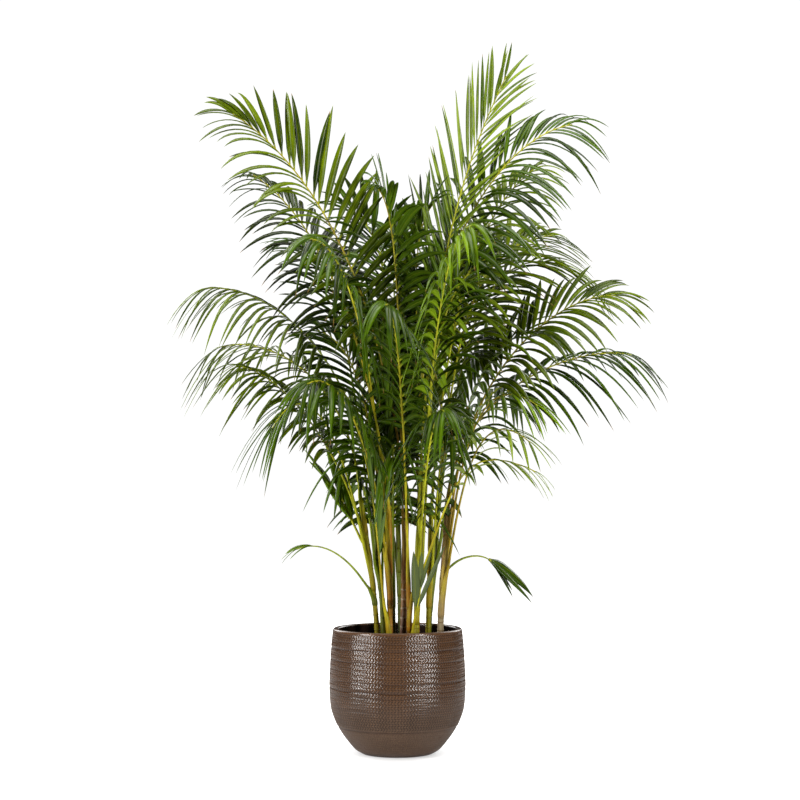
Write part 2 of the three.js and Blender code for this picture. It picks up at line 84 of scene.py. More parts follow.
Cane = namedtuple("Cane", "foot top thick colour")
CANES = {
    "a": Cane((-47, -22), (-93, -38, 640), (7, 4.6), "yellow"),
    "b": Cane((-18, -52), (-20, -60, 600), (7.5, 5), "golden"),
    "c": Cane((14, -20), (23, -15, 600), (9, 5.5), "brown"),
    "d": Cane((47, -60), (50, -66, 540), (7, 4.6), "yellow"),
    "e": Cane((76, -34), (84, -38, 600), (7, 4.6), "yellow"),
    "f": Cane((106, 8), (128, 15, 640), (8.5, 5), "grey"),
    "g": Cane((-32, 34), (-62, 60, 580), (7, 4.6), "green"),
    "h": Cane((8, 55), (0, 92, 600), (7, 4.6), "green"),
    "i": Cane((48, 20), (56, 33, 580), (7.5, 4.8), "golden"),
    "j": Cane((78, 58), (100, 92, 560), (7, 4.6), "green"),
    "k": Cane((30, -86), (26, -108, 460), (6, 4.4), "golden"),
    "l": Cane((-10, 8), (-16, 20, 600), (6.5, 4.6), "green"),
}
SCAR_SWELL = 0.9
STALK_GAP = 0.8  # between a cane and the stalk beside it
TOP_GAP = 1.2  # between a cane's top and the stalk on it
CANE_FOOT = 196.0  # height of a cane's lower end, in the soil
CANE_SIDES = 18
CANE_SEED = 200
STALK_SIDES = 12

Habit = namedtuple("Habit", "lift droop sweep width spacing")
HABITS = {
    "crown": Habit(30, 1.1, (57, 12), 20, 1.15),
    "fan": Habit(18, 1.15, (54, 20), 18, 0.85),
    "arch": Habit(8, 1.5, (52, 22), 17, 0.9),
    "veil": Habit(8, 1.9, (46, 18), 12.5, 0.95),
    "plume": Habit(22, 0.45, (32, 13), 16, 1.0),
    "wisp": Habit(22, 0.5, (31, 12), 12, 1.1),
    "curtain": Habit(8, 2.2, (46, 18), 18, 1.05),
    "sparse": Habit(8, 1.3, (50, 22), 12, 1.6),
    "young": Habit(12, 0.8, (30, 14), 34, 1.6),
    "spear": Habit(8, 0.3, (14, 8), 24, 2.0),
    "paddle": Habit(4, 0.5, (7, 4), 28, 2.0),
}

Frond = namedtuple(
    "Frond", "name cane height tip lean pitch rise reach roll bare leaflet habit tone"
)
FRONDS = [Frond(*row) for row in (
    ("upper_left", "c", 600, (-515, -110, 1636), 5, 14, 0.57, 0.2, -60, 0.37, 268, "crown", "mid"),
    ("second_left", "b", 600, (-450, 90, 1490), 6, 10, 0.54, 0.2, -25, 0.42, 215, "arch", "dark"),
    ("left_arch", "g", 580, (-535, -150, 1125), 3, -40, 0.66, 0.22, -15, 0.45, 225, "veil", "mid"),
    ("left_mid", "a", 640, (-510, 130, 990), 4, -42, 0.63, 0.25, -15, 0.35, 215, "veil", "mid"),
    ("left_low", "a", 560, (-440, -70, 955), 14, -34, 0.48, 0.21, -20, 0.35, 180, "arch", "mid"),
    ("left_hook", "a", 500, (-325, -190, 765), 12, -65, 0.85, 0.65, 0, 0.5, 180, "veil", "deep"),
    ("upper_right", "d", 540, (330, 120, 1815), 2, 58, 0.55, 0.25, 65, 0.44, 255, "wisp", "pale"),
    ("top_right", "i", 580, (540, -60, 1540), -4, -40, 0.72, 0.2, 50, 0.45, 265, "arch", "deep"),
    ("right_drape", "e", 600, (435, 110, 1520), 4, 18, 0.63, 0.21, 30, 0.45, 200, "arch", "pale"),
    ("right_fan", "j", 560, (540, 190, 1160), 7, -38, 0.66, 0.54, 25, 0.42, 240, "fan", "mid"),
    ("right_edge", "f", 580, (610, -80, 1115), 4, -40, 0.61, 0.22, 35, 0.42, 225, "fan", "mid"),
    ("right_far", "f", 640, (650, 60, 965), 6, -55, 0.53, 0.2, 20, 0.38, 210, "arch", "deep"),
    ("right_shade", "e", 540, (480, 190, 1310), 8, -4, 0.53, 0.43, 35, 0.45, 230, "fan", "mid"),
    ("right_low", "f", 500, (375, -190, 835), 9, -40, 0.63, 0.58, 10, 0.42, 170, "sparse", "fresh"),
    ("right_lower", "f", 430, (350, -240, 745), 12, -40, 0.62, 0.6, 0, 0.45, 145, "sparse", "pale"),
    ("right_lowest", "k", 400, (385, -160, 680), 22, -30, 0.64, 0.64, 0, 0.48, 120, "sparse", "pale"),
    ("front_left", "b", 540, (-250, -380, 1230), 6, -35, 0.6, 0.3, -40, 0.42, 230, "curtain", "deep"),
    ("front_mid", "k", 460, (-40, -430, 1060), 6, -45, 0.6, 0.35, -35, 0.45, 215, "curtain", "deep"),
    ("front_right", "d", 480, (210, -400, 1260), 6, -35, 0.6, 0.3, 40, 0.42, 230, "curtain", "fresh"),
    ("front_high", "c", 520, (-90, -260, 1390), 4, -20, 0.6, 0.3, -45, 0.48, 240, "crown", "deep"),
    ("front_low_left", "b", 460, (-240, -390, 880), 9, -45, 0.6, 0.35, -25, 0.42, 185, "curtain", "deep"),
    ("front_low_right", "d", 420, (120, -380, 820), 10, -45, 0.6, 0.35, 25, 0.45, 185, "curtain", "deep"),
    ("mid_left", "l", 600, (-215, 30, 1400), 2, 5, 0.55, 0.3, -60, 0.48, 240, "crown", "deep"),
    ("mid_right", "i", 500, (150, -90, 1400), 3, 0, 0.55, 0.3, 60, 0.48, 240, "crown", "deep"),
    ("back_left", "g", 510, (-330, 370, 1290), 10, -25, 0.6, 0.3, -10, 0.42, 230, "fan", "deep"),
    ("back_mid", "h", 600, (-30, 430, 1330), 5, -30, 0.6, 0.3, 0, 0.44, 230, "fan", "deep"),
    ("back_right", "j", 500, (280, 430, 1320), 10, -25, 0.6, 0.3, 10, 0.42, 230, "fan", "deep"),
    ("back_low_left", "h", 480, (-270, 430, 900), 10, -45, 0.55, 0.35, 0, 0.42, 195, "curtain", "deep"),
    ("back_low_mid", "h", 540, (60, 500, 960), 9, -40, 0.6, 0.35, 0, 0.42, 195, "curtain", "deep"),
    ("back_low_right", "j", 440, (350, 410, 880), 15, -45, 0.6, 0.35, 0, 0.42, 195, "curtain", "deep"),
    ("left_young", "a", 520, (-180, 15, 690), 30, 45, 0.35, 0.3, -30, 0.35, 190, "spear", "fresh"),
    ("left_small", "a", 410, (-270, -60, 500), 30, -35, 0.45, 0.4, -10, 0.75, 90, "young", "fresh"),
    ("right_small", "f", 455, (250, 60, 458), 35, -64, 0.35, 0.42, 60, 0.8, 180, "paddle", "deep"),
    ("low_blade", "k", 300, (58, -130, 430), 10, 80, 0.4, 0.3, 10, 0.5, 230, "spear", "worn"),
    ("inner_left", "l", 520, (-150, -90, 1150), 3, 20, 0.55, 0.3, -50, 0.3, 230, "plume", "deep"),
    ("inner_right", "i", 440, (110, 170, 1160), 7, 20, 0.55, 0.3, 50, 0.32, 230, "plume", "mid"),
    ("inner_mid", "l", 470, (10, 130, 1100), 3, 20, 0.55, 0.3, 20, 0.3, 230, "plume", "deep"),
    ("low_left", "g", 460, (-150, -20, 680), 5, -78, 0.9, 0.6, -20, 0.3, 160, "curtain", "deep"),
    ("low_mid", "l", 430, (-10, -120, 700), 5, -78, 0.95, 0.6, -20, 0.3, 210, "curtain", "deep"),
    ("low_right", "e", 440, (150, -150, 740), 5, -75, 0.9, 0.6, 20, 0.32, 160, "curtain", "deep"),
    ("low_back", "g", 380, (-20, 250, 850), 5, -30, 0.6, 0.3, 0, 0.3, 200, "curtain", "deep"),
    ("inner_low_left", "b", 460, (-260, 70, 1060), 5, -10, 0.55, 0.3, -30, 0.32, 230, "fan", "deep"),
    ("right_mid", "j", 470, (430, -40, 1030), 7, -30, 0.6, 0.35, 30, 0.36, 240, "fan", "fresh"),
    ("right_inner", "d", 450, (300, -40, 1270), 4, 15, 0.55, 0.3, 50, 0.36, 240, "crown", "deep"),
    ("low_upright", "b", 340, (-120, -110, 850), 8, 60, 0.4, 0.3, -40, 0.3, 230, "plume", "deep"),
)]

RIB_HALF = (3.8, 1.2)  # half width of a rib, at its foot and at its tip
RIB_END = 0.9  # share of the curve where the rib ends in its last leaflets
LEAFLET_PITCH = 21.0  # spacing of the leaflets along one side of a rib
BLADE_SHAPE = 0.2  # most width that a blade has for its length
BLADE_STATIONS = (0, 0.04, 0.1, 0.19, 0.3, 0.42, 0.54, 0.66, 0.77, 0.87, 0.95)
BLADE_THICK = 0.9
LIGHT_TURN = 0.5  # share of the way that a level blade turns to face straight up
CURL_FROM = 0.7  # share of a blade's length where a curled tip begins
CURLED = 0.12  # share of the blades that curl
BLADE_SEED = 500

# ---- Camera, in metres -------------------------------------------------------

CAMERA_PLACE = (0, -5.5, 0.8)
CAMERA_AIM = (0.0063, 0, 0.883)
SENSOR_WIDTH = 36.0
FOCAL_LENGTH = 98.6


# ---- Small helpers ----------------------------------------------------------

def lerp(low, high, share):
    return low + (high - low) * share


def smooth(share):
    share = np.clip(share, 0.0, 1.0)
    return share * share * (3 - 2 * share)


def unit(vectors):
    return vectors / np.linalg.norm(vectors, axis=-1, keepdims=True)


def make_piece(name, points, faces, material, nodes, marks=None):
    """A smooth mesh of points in millimetres, riding on the palm's one body."""
    mesh = bpy.data.meshes.new(name)
    mesh.from_pydata((np.asarray(points) * MM).tolist(), [], faces)
    mesh.polygons.foreach_set("use_smooth", [True] * len(mesh.polygons))
    for label, values in (marks or {}).items():
        values = np.asarray(values, dtype=np.float32)
        kind = "FLOAT_VECTOR" if values.ndim == 2 else "FLOAT"
        layer = mesh.attributes.new(label, kind, "POINT")
        layer.data.foreach_set("vector" if values.ndim == 2 else "value", values.ravel())
    mesh.materials.append(material)
    mesh.update()
    piece = bpy.data.objects.new(name, mesh)
    bpy.context.scene.collection.objects.link(piece)
    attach(piece, "root")
    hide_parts(*nodes)
    return piece


def loft_faces(rings, sides, closed_ends=True):
    """Quads between rings of equal sides, with a cap at either end."""
    faces = []
    for ring in range(rings - 1):
        low, high = ring * sides, (ring + 1) * sides
        for i in range(sides):
            j = (i + 1) % sides
            faces.append((low + i, low + j, high + j, high + i))
    if closed_ends:
        faces.append(tuple(reversed(range(sides))))
        faces.append(tuple(range((rings - 1) * sides, rings * sides)))
    return faces


# ---- Shader building --------------------------------------------------------

def feed(tree, socket, value):
    if isinstance(value, bpy.types.NodeSocket):
        tree.links.new(value, socket)
    else:
        socket.default_value = value


def node(tree, kind, settings=None, sockets=None):
    """A node with its settings, and its sockets fed with values or other sockets."""
    made = tree.nodes.new("ShaderNode" + kind)
    for key, value in (settings or {}).items():
        setattr(made, key, value)
    for key, value in (sockets or {}).items():
        feed(tree, made.inputs[key], value)
    return made


def sums(tree, operation, first, second=0.0):
    return node(tree, "Math", {"operation": operation}, {0: first, 1: second}).outputs[0]


def blend_colour(tree, share, first, second, how="MIX"):
    made = node(tree, "Mix", {"data_type": "RGBA", "blend_type": how}, {0: share})
    feed(tree, made.inputs[6], first)
    feed(tree, made.inputs[7], second)
    return made.outputs[2]


def shaded(tree, colour, shade):
    """A colour made darker or lighter by a factor."""
    grey = node(tree, "CombineXYZ", None, {0: shade, 1: shade, 2: shade}).outputs[0]
    return blend_colour(tree, 1.0, colour, grey, "MULTIPLY")


def ranged(tree, value, low, high, new_low=0.0, new_high=1.0):
    """A value carried from one range to another, and held at its ends."""
    sockets = {"Value": value, "From Min": low, "From Max": high}
    sockets.update({"To Min": new_low, "To Max": new_high})
    return node(tree, "MapRange", None, sockets).outputs[0]


def mark(tree, label, vector=False):
    """What the mesh stores under a label, for the shader."""
    made = node(tree, "Attribute", {"attribute_name": label})
    return made.outputs["Vector" if vector else "Fac"]


def new_group(name, inputs, outputs):
    tree = bpy.data.node_groups.new(name, "ShaderNodeTree")
    for label, kind, default in inputs:
        socket = tree.interface.new_socket(name=label, in_out="INPUT", socket_type="NodeSocket" + kind)
        socket.default_value = default
    for label, kind in outputs:
        tree.interface.new_socket(name=label, in_out="OUTPUT", socket_type="NodeSocket" + kind)
    given = tree.nodes.new("NodeGroupInput").outputs
    return tree, given, tree.nodes.new("NodeGroupOutput").inputs


def use_group(tree, group, sockets):
    made = tree.nodes.new("ShaderNodeGroup")
    made.node_tree = group
    for key, value in sockets.items():
        feed(tree, made.inputs[key], value)
    return made.outputs


def new_material(name):
    material = bpy.data.materials.new(name)
    material.use_nodes = True
    tree = material.node_tree
    return material, tree, tree.nodes["Principled BSDF"].inputs


def rgb(red, green, blue):
    """A colour given as 0 to 255 on a screen, as the shader's linear colour."""
    def linear(share):
        return share / 12.92 if share <= 0.04045 else ((share + 0.055) / 1.055) ** 2.4
    return tuple(linear(part / 255) for part in (red, green, blue)) + (1.0,)


def mottle_group():
    """Soft irregular patches over a surface, from 0 to 1."""
    inputs = (("Scale", "Float", 20.0), ("Softness", "Float", 0.3), ("Stretch", "Vector", (1, 1, 1)))
    tree, given, out = new_group("Mottle", inputs, (("Patches", "Float"),))
    place = node(tree, "TexCoord").outputs["Object"]
    stretched = node(tree, "VectorMath", {"operation": "MULTIPLY"}, {0: place, 1: given["Stretch"]})
    noise = node(tree, "TexNoise", None, {"Vector": stretched.outputs[0], "Scale": given["Scale"]})
    low = sums(tree, "SUBTRACT", 0.5, given["Softness"])
    high = sums(tree, "ADD", 0.5, given["Softness"])
    tree.links.new(ranged(tree, noise.outputs["Fac"], low, high), out["Patches"])
    return tree


MOTTLE = mottle_group()


def mottle(tree, scale, softness=0.25, stretch=(1, 1, 1)):
    return use_group(tree, MOTTLE, {"Scale": scale, "Softness": softness, "Stretch": stretch})[0]


def blade_group():
    """Leaflet markings from its length, its breadth and its side: blade colour
    with pale midrib, veins, yellow foot and dry tip."""
    inputs = (
        ("Deep", "Color", rgb(28, 58, 12)), ("Fresh", "Color", rgb(70, 112, 28)),
        ("Under", "Color", rgb(96, 128, 62)), ("Foot", "Color", rgb(170, 172, 40)),
        ("Dry", "Color", rgb(120, 90, 45)),
    )
    outputs = (("Colour", "Color"), ("Roughness", "Float"), ("Height", "Float"))
    tree, given, out = new_group("Blade Markings", inputs, outputs)
    place = node(tree, "SeparateXYZ", None, {0: mark(tree, "blade", vector=True)}).outputs
    along, across, under = place["X"], place["Y"], place["Z"]
    tone = mark(tree, "tone")
    patches = mottle(tree, 22.0, 0.3)
    lively = sums(tree, "ADD", sums(tree, "MULTIPLY", patches, 0.45), tone)
    lively = ranged(tree, lively, 0.15, 0.85)
    colour = blend_colour(tree, lively, given["Deep"], given["Fresh"])
    streaks = node(tree, "TexNoise", {"noise_dimensions": "2D"}, {
        "Vector": node(tree, "CombineXYZ", None, {
            0: sums(tree, "MULTIPLY", along, 2.0),
            1: sums(tree, "ADD", sums(tree, "MULTIPLY", across, 4.0), sums(tree, "MULTIPLY", tone, 90.0)),
        }).outputs[0], "Scale": 1.0, "Detail": 2.0}).outputs["Fac"]
    colour = shaded(tree, colour, ranged(tree, streaks, 0.35, 0.7, 0.76, 1.12))
    colour = blend_colour(tree, sums(tree, "MULTIPLY", under, 0.75), colour, given["Under"])
    breadth = sums(tree, "ABSOLUTE", across)
    midrib = ranged(tree, breadth, 0.0, 0.13, 1.0, 0.0)
    colour = blend_colour(tree, sums(tree, "MULTIPLY", midrib, 0.16), colour, given["Foot"])
    foot = ranged(tree, along, 0.0, 0.07, 0.8, 0.0)
    colour = blend_colour(tree, foot, colour, given["Foot"])
    dry_from = ranged(tree, tone, 0.0, 0.6, 0.93, 1.02)
    dry = ranged(tree, along, dry_from, sums(tree, "ADD", dry_from, 0.04))
    colour = blend_colour(tree, dry, colour, given["Dry"])
    veins = node(tree, "TexWave", {"wave_profile": "SIN", "bands_direction": "Y"}, {
        "Vector": node(tree, "CombineXYZ", None, {1: across}).outputs[0], "Scale": 1.3}).outputs["Fac"]
    height = sums(tree, "ADD", sums(tree, "MULTIPLY", veins, 0.5), sums(tree, "MULTIPLY", streaks, 0.5))
    tree.links.new(colour, out["Colour"])
    tree.links.new(ranged(tree, streaks, 0.3, 0.7, 0.2, 0.36), out["Roughness"])
    tree.links.new(height, out["Height"])
    return tree


def leaf_material(name, deep, fresh, under):
    material, tree, shader = new_material(name)
    marks = use_group(tree, BLADE, {"Deep": rgb(*deep), "Fresh": rgb(*fresh), "Under": rgb(*under)})
    bump = node(tree, "Bump", None, {"Height": marks["Height"], "Strength": 0.12, "Distance": 0.4 * MM})
    feed(tree, shader["Base Color"], marks["Colour"])
    feed(tree, shader["Roughness"], marks["Roughness"])
    feed(tree, shader["Normal"], bump.outputs[0])
    shader["Specular IOR Level"].default_value = 0.13
    return material


def stem_group():
    """Skin of a cane or a stalk: from its old colour at the foot to its young
    colour above, with pale leaf scars, flecks and fine lengthwise grain."""
    inputs = (
        ("Old", "Color", rgb(150, 105, 50)), ("Young", "Color", rgb(150, 150, 40)),
        ("Tip", "Color", rgb(120, 140, 40)), ("Scar", "Color", rgb(150, 130, 100)),
        ("Blush", "Color", rgb(120, 80, 10)),
    )
    outputs = (("Colour", "Color"), ("Roughness", "Float"), ("Height", "Float"))
    tree, given, out = new_group("Stem Skin", inputs, outputs)
    place = node(tree, "SeparateXYZ", None, {0: mark(tree, "stem", vector=True)}).outputs
    age, scar = place["X"], place["Y"]
    patches = mottle(tree, 38.0, 0.28, (1, 1, 0.35))
    flecks = mottle(tree, 260.0, 0.12, (1, 1, 0.25))
    grown = sums(tree, "ADD", age, sums(tree, "MULTIPLY", sums(tree, "SUBTRACT", patches, 0.5), 0.5))
    colour = blend_colour(tree, ranged(tree, grown, 0.15, 0.6), given["Old"], given["Young"])
    # Towards the tip colour, which for the stalks is their own yellow with painted light added.
    colour = blend_colour(tree, ranged(tree, grown, 1.0, 1.6), colour, given["Tip"])
    blush = mottle(tree, 14.0, 0.16, (1, 1, 0.3))
    colour = blend_colour(tree, sums(tree, "MULTIPLY", blush, 0.4), colour, given["Blush"])
    streaks = mottle(tree, 150.0, 0.22, (1, 1, 0.05))
    colour = shaded(tree, colour, ranged(tree, streaks, 0.0, 1.0, 0.5, 1.12))
    fleck_share = sums(tree, "MULTIPLY", flecks, ranged(tree, age, 0.0, 1.0, 0.4, 0.12))
    colour = blend_colour(tree, fleck_share, colour, given["Scar"])
    colour = blend_colour(tree, sums(tree, "MULTIPLY", scar, 0.8), colour, given["Scar"])
    grain = mottle(tree, 420.0, 0.3, (1, 1, 0.06))
    height = sums(tree, "ADD", sums(tree, "MULTIPLY", grain, 0.6), sums(tree, "MULTIPLY", flecks, 0.4))
    tree.links.new(colour, out["Colour"])
    tree.links.new(ranged(tree, flecks, 0.0, 1.0, 0.34, 0.6), out["Roughness"])
    tree.links.new(height, out["Height"])
    return tree


def stem_material(name, old, young, tip, scar, blush):
    material, tree, shader = new_material(name)
    colours = {
        "Old": rgb(*old), "Young": rgb(*young), "Tip": rgb(*tip),
        "Scar": rgb(*scar), "Blush": rgb(*blush),
    }
    skin = use_group(tree, STEM, colours)
    bump = node(tree, "Bump", None, {"Height": skin["Height"], "Strength": 0.3, "Distance": 0.5 * MM})
    feed(tree, shader["Base Color"], skin["Colour"])
    feed(tree, shader["Roughness"], skin["Roughness"])
    feed(tree, shader["Normal"], bump.outputs[0])
    shader["Specular IOR Level"].default_value = 0.12
    return material


def pot_material():
    """Brown glaze, duller and greyer low down, with painted shade in its grooves, its dashes and inside,
    and a painted highlight along the lip.
    """
    material, tree, shader = new_material("stoneware_glaze")
    wall = node(tree, "SeparateXYZ", None, {0: mark(tree, "wall", vector=True)}).outputs
    inside, height = wall["Y"], wall["Z"]
    groove = ranged(tree, wall["X"], 0.0, 1.0)
    dash = ranged(tree, mark(tree, "dash"), 0.1, 0.75)
    clouds = mottle(tree, 11.0, 0.25, (1, 1, 2.6))
    streaks = mottle(tree, 26.0, 0.3, (1, 1, 6.0))
    grit = mottle(tree, 900.0, 0.2)
    grain = mottle(tree, 290.0, 0.12, (1, 1, 1.6))
    colour = blend_colour(tree, clouds, rgb(69, 43, 21), rgb(91, 59, 32))
    colour = blend_colour(tree, sums(tree, "MULTIPLY", streaks, 0.5), colour, rgb(72, 52, 33))
    low = ranged(tree, height, 0.22, 0.5, 0.8, 0.0)
    colour = blend_colour(tree, low, colour, rgb(86, 68, 54))
    # Painted shade in the thrown grooves: the wall is darkened by their depth.
    colour = blend_colour(tree, sums(tree, "MULTIPLY", groove, 0.6), colour, rgb(34, 15, 7))
    # Painted shade in the stamped dashes: each dash is darkened nearly to black.
    colour = blend_colour(tree, sums(tree, "MULTIPLY", dash, 0.9), colour, rgb(10, 4, 2))
    colour = blend_colour(tree, sums(tree, "MULTIPLY", grit, 0.2), colour, rgb(84, 66, 52))
    colour = blend_colour(tree, sums(tree, "MULTIPLY", grain, 0.5), colour, rgb(44, 27, 15))
    # Painted highlight: a lighter band along the rounded lip.
    colour = blend_colour(tree, ranged(tree, height, 0.988, 0.996, 0.0, 0.6), colour, rgb(92, 74, 62))
    colour = blend_colour(tree, ranged(tree, height, 0.0, 0.014, 0.75, 0.0), colour, rgb(58, 20, 11))
    # Painted shade inside the planter: its inner wall is darkened nearly to black.
    colour = blend_colour(tree, sums(tree, "MULTIPLY", inside, 0.94), colour, rgb(16, 9, 8))
    smoothness = ranged(tree, height, 0.3, 0.52, 0.36, 0.15)
    roughness = sums(tree, "ADD", smoothness, sums(tree, "MULTIPLY", grit, 0.08))
    bump = node(tree, "Bump", None, {"Height": grit, "Strength": 0.25, "Distance": 0.3 * MM})
    feed(tree, shader["Base Color"], colour)
    feed(tree, shader["Roughness"], roughness)
    feed(tree, shader["Normal"], bump.outputs[0])
    shader["Specular IOR Level"].default_value = 0.3
    return material


def soil_material(name, dark, light):
    material, tree, shader = new_material(name)
    crumbs = mottle(tree, 180.0, 0.2)
    fine = mottle(tree, 700.0, 0.25)
    colour = blend_colour(tree, crumbs, rgb(*dark), rgb(*light))
    bump = node(tree, "Bump", None, {"Height": fine, "Strength": 0.8, "Distance": 1.0 * MM})
    feed(tree, shader["Base Color"], colour)
    feed(tree, shader["Roughness"], ranged(tree, fine, 0.0, 1.0, 0.8, 0.98))
    feed(tree, shader["Normal"], bump.outputs[0])
    return material


BLADE = blade_group()
STEM = stem_group()
LEAVES = {
    "deep": leaf_material("leaflet_deep", (8, 24, 0), (58, 84, 0), (60, 82, 12)),
    "dark": leaf_material("leaflet_dark", (8, 16, 0), (42, 60, 2), (54, 68, 16)),
    "worn": leaf_material("leaflet_worn", (36, 46, 16), (64, 76, 34), (74, 84, 46)),
    "mid": leaf_material("leaflet_mid", (20, 38, 0), (90, 108, 2), (88, 106, 18)),
    "fresh": leaf_material("leaflet_fresh", (28, 52, 0), (98, 126, 2), (100, 124, 20)),
    "pale": leaf_material("leaflet_pale", (44, 68, 4), (114, 134, 20), (132, 146, 60)),
}
# Colours of stalks and canes: old, young, tip, leaf scar and blush.
# The stalks' young and tip colours are their own yellow, made brighter as painted light for the lit stalks
# in the middle of the plant.
STALK_COLOURS = {
    "yellow": ((132, 104, 8), (148, 148, 12), (172, 174, 40), (96, 96, 24), (104, 112, 6)),
    "golden": ((140, 84, 14), (152, 144, 12), (172, 170, 40), (104, 92, 28), (112, 76, 6)),
    "brown": ((112, 62, 20), (142, 118, 16), (164, 160, 38), (140, 120, 90), (112, 60, 16)),
    "grey": ((136, 110, 62), (146, 130, 12), (160, 160, 32), (128, 116, 86), (128, 74, 10)),
    "green": ((82, 84, 8), (102, 118, 10), (146, 158, 34), (76, 80, 26), (66, 82, 6)),
}
CANE_COLOURS = {
    "yellow": ((130, 122, 8), (140, 138, 8), (122, 128, 12), (92, 86, 26), (124, 92, 6)),
    "golden": ((144, 84, 14), (148, 126, 8), (134, 126, 12), (112, 90, 42), (126, 64, 8)),
    "brown": ((78, 34, 18), (134, 90, 30), (126, 104, 14), (150, 136, 116), (100, 58, 20)),
    "grey": ((144, 132, 102), (124, 88, 26), (122, 112, 14), (88, 62, 34), (128, 74, 14)),
    "green": ((50, 58, 8), (70, 90, 6), (86, 106, 10), (90, 84, 42), (110, 112, 10)),
}
STALKS = {key: stem_material("stalk_" + key, *parts) for key, parts in STALK_COLOURS.items()}
CANE_SKINS = {key: stem_material("cane_" + key, *parts) for key, parts in CANE_COLOURS.items()}


# ---- Planter ----------------------------------------------------------------

def pot_radius(height):
    """Radius of the planter's outside: a smooth curve through the outline."""
    heights = np.array([z for z, _ in POT_OUTLINE], dtype=float)
    radii = np.array([r for _, r in POT_OUTLINE], dtype=float)
    last = len(heights) - 1
    index = np.arange(last + 1)
    before, after = np.maximum(index - 1, 0), np.minimum(index + 1, last)
    slope = (radii[after] - radii[before]) / (heights[after] - heights[before])
    height = np.asarray(height, dtype=float)
    k = np.clip(np.searchsorted(heights, height, side="right") - 1, 0, last - 1)
    step = heights[k + 1] - heights[k]
    t = (height - heights[k]) / step
    start = (1 + 2 * t) * (1 - t) ** 2 * radii[k] + t * (1 - t) ** 2 * step * slope[k]
    end = t * t * (3 - 2 * t) * radii[k + 1] + t * t * (t - 1) * step * slope[k + 1]
    return start + end


def pot_groove(height, turn):
    """Depth of the thrown grooves, in mm, at a height all the way round."""
    depth = np.zeros_like(turn)
    for k, (middle, deep, width) in enumerate(GROOVES):
        stray = np.sin(turn * (1 + k % 3) + 1.7 * k) + 0.4 * np.sin(turn * (4 + k % 4) + k)
        swell = 1 + 0.35 * np.sin(turn * (2 + k % 2) + 2.3 * k)
        offset = (height - middle - GROOVE_WANDER * stray) / width
        depth += deep * swell * (np.exp(-offset ** 2) - 0.45 * np.exp(-(offset / 2 - 1.6) ** 2))
    return depth


def pot_dash(height, turn):
    """The stamped dashes at a height all the way round: 1 in the middle of a dash. The dashes
    of a row all lean one way, and those of the next row the other. They are faint low down."""
    stray = 0.16 * (np.sin(3 * turn) + 0.6 * np.sin(7 * turn))
    row = height / DASH_ROW + stray
    across = row % 1 - 0.5
    hand = np.where(np.floor(row) % 2 < 1, -1.0, 1.0)
    dash = 0.5 + 0.5 * np.cos(DASH_COUNT * turn + 2 * math.pi * DASH_LEAN * hand * across)
    ends = 1 - smooth((np.abs(across) - 0.34) / 0.16)
    bottom, top = DASH_ZONE
    strength = lerp(FAINT_DASH, 1.0, smooth((height - bottom) / 8)) * smooth((height - 8) / 12)
    return dash * ends * strength * smooth((top - height) / 3)


def build_pot():
    """The planter's skin: wall with its grooves and dashes, rounded lip, inside and underside."""
    columns = DASH_STEPS * DASH_COUNT
    turn = np.arange(columns) * 2 * math.pi / columns
    plain = np.zeros_like(turn)
    lip = POT_HEIGHT - LIP_ROUND
    rows = []
    for z in np.concatenate([[0.0, 1.5], np.arange(3, lip, POT_ROW)]):
        groove, dash = pot_groove(z, turn) * smooth(z / 20), pot_dash(z, turn)
        rows.append((pot_radius(z) - groove - DASH_DEPTH * dash, plain + z, groove / 0.6, plain, dash))

    def plain_row(radius, z, inside=0.0):
        rows.append((plain + radius, plain + z, plain, plain + inside, plain))

    outer, inner = float(pot_radius(POT_HEIGHT)), float(pot_radius(POT_HEIGHT)) - POT_WALL
    for k in range(0, 7):
        angle = k * math.pi / 12
        plain_row(outer - LIP_ROUND * (1 - math.cos(angle)), lip + LIP_ROUND * math.sin(angle))
    for k in range(0, 7):
        angle = math.pi / 2 + k * math.pi / 12
        radius = inner + LIP_ROUND * (1 + math.cos(angle))
        plain_row(radius, lip + LIP_ROUND * math.sin(angle), max(0, k - 3) / 3)
    for z in (296, 284, 272, 260, 250, 172, 112, 72, 40):
        plain_row(float(pot_radius(z)) - POT_WALL, z, 1.0)
    plain_row(float(pot_radius(POT_FLOOR + 10)) - POT_WALL, POT_FLOOR, 1.0)
    radius, height, groove, inside, dash = (np.array([row[k] for row in rows]) for k in range(5))
    points = np.stack([radius * np.cos(turn), radius * np.sin(turn), height], axis=-1).reshape(-1, 3)
    wall = np.stack([groove, inside, height / POT_HEIGHT], axis=-1).reshape(-1, 3)
    index = np.arange(len(rows) * columns).reshape(len(rows), columns)
    after = np.roll(index, -1, axis=1)
    quads = np.stack([index[:-1], after[:-1], after[1:], index[1:]], axis=-1).reshape(-1, 4)
    faces = quads.tolist()
    faces.append(index[0, ::-1].tolist())
    faces.append(index[-1].tolist())
    marks = {"wall": wall, "dash": dash.ravel()}
    return make_piece("planter", points, faces, pot_material(), ["pot"], marks)


# ---- Soil -------------------------------------------------------------------

def soil_height(x, y):
    wave = np.sin(x / 19 + 1) * np.cos(y / 23) + np.sin((x + y) / 37)
    crumbs = np.sin(x / 3.1 + 2 * np.sin(y / 5)) * np.sin(y / 2.7 + 1.3 * np.sin(x / 4.3))
    grains = np.sin(x * 1.3 + y * 0.4) * np.sin(y * 1.1 - x * 0.7)
    return SOIL_LEVEL + 2.5 * wave + 1.3 * crumbs + 0.5 * grains


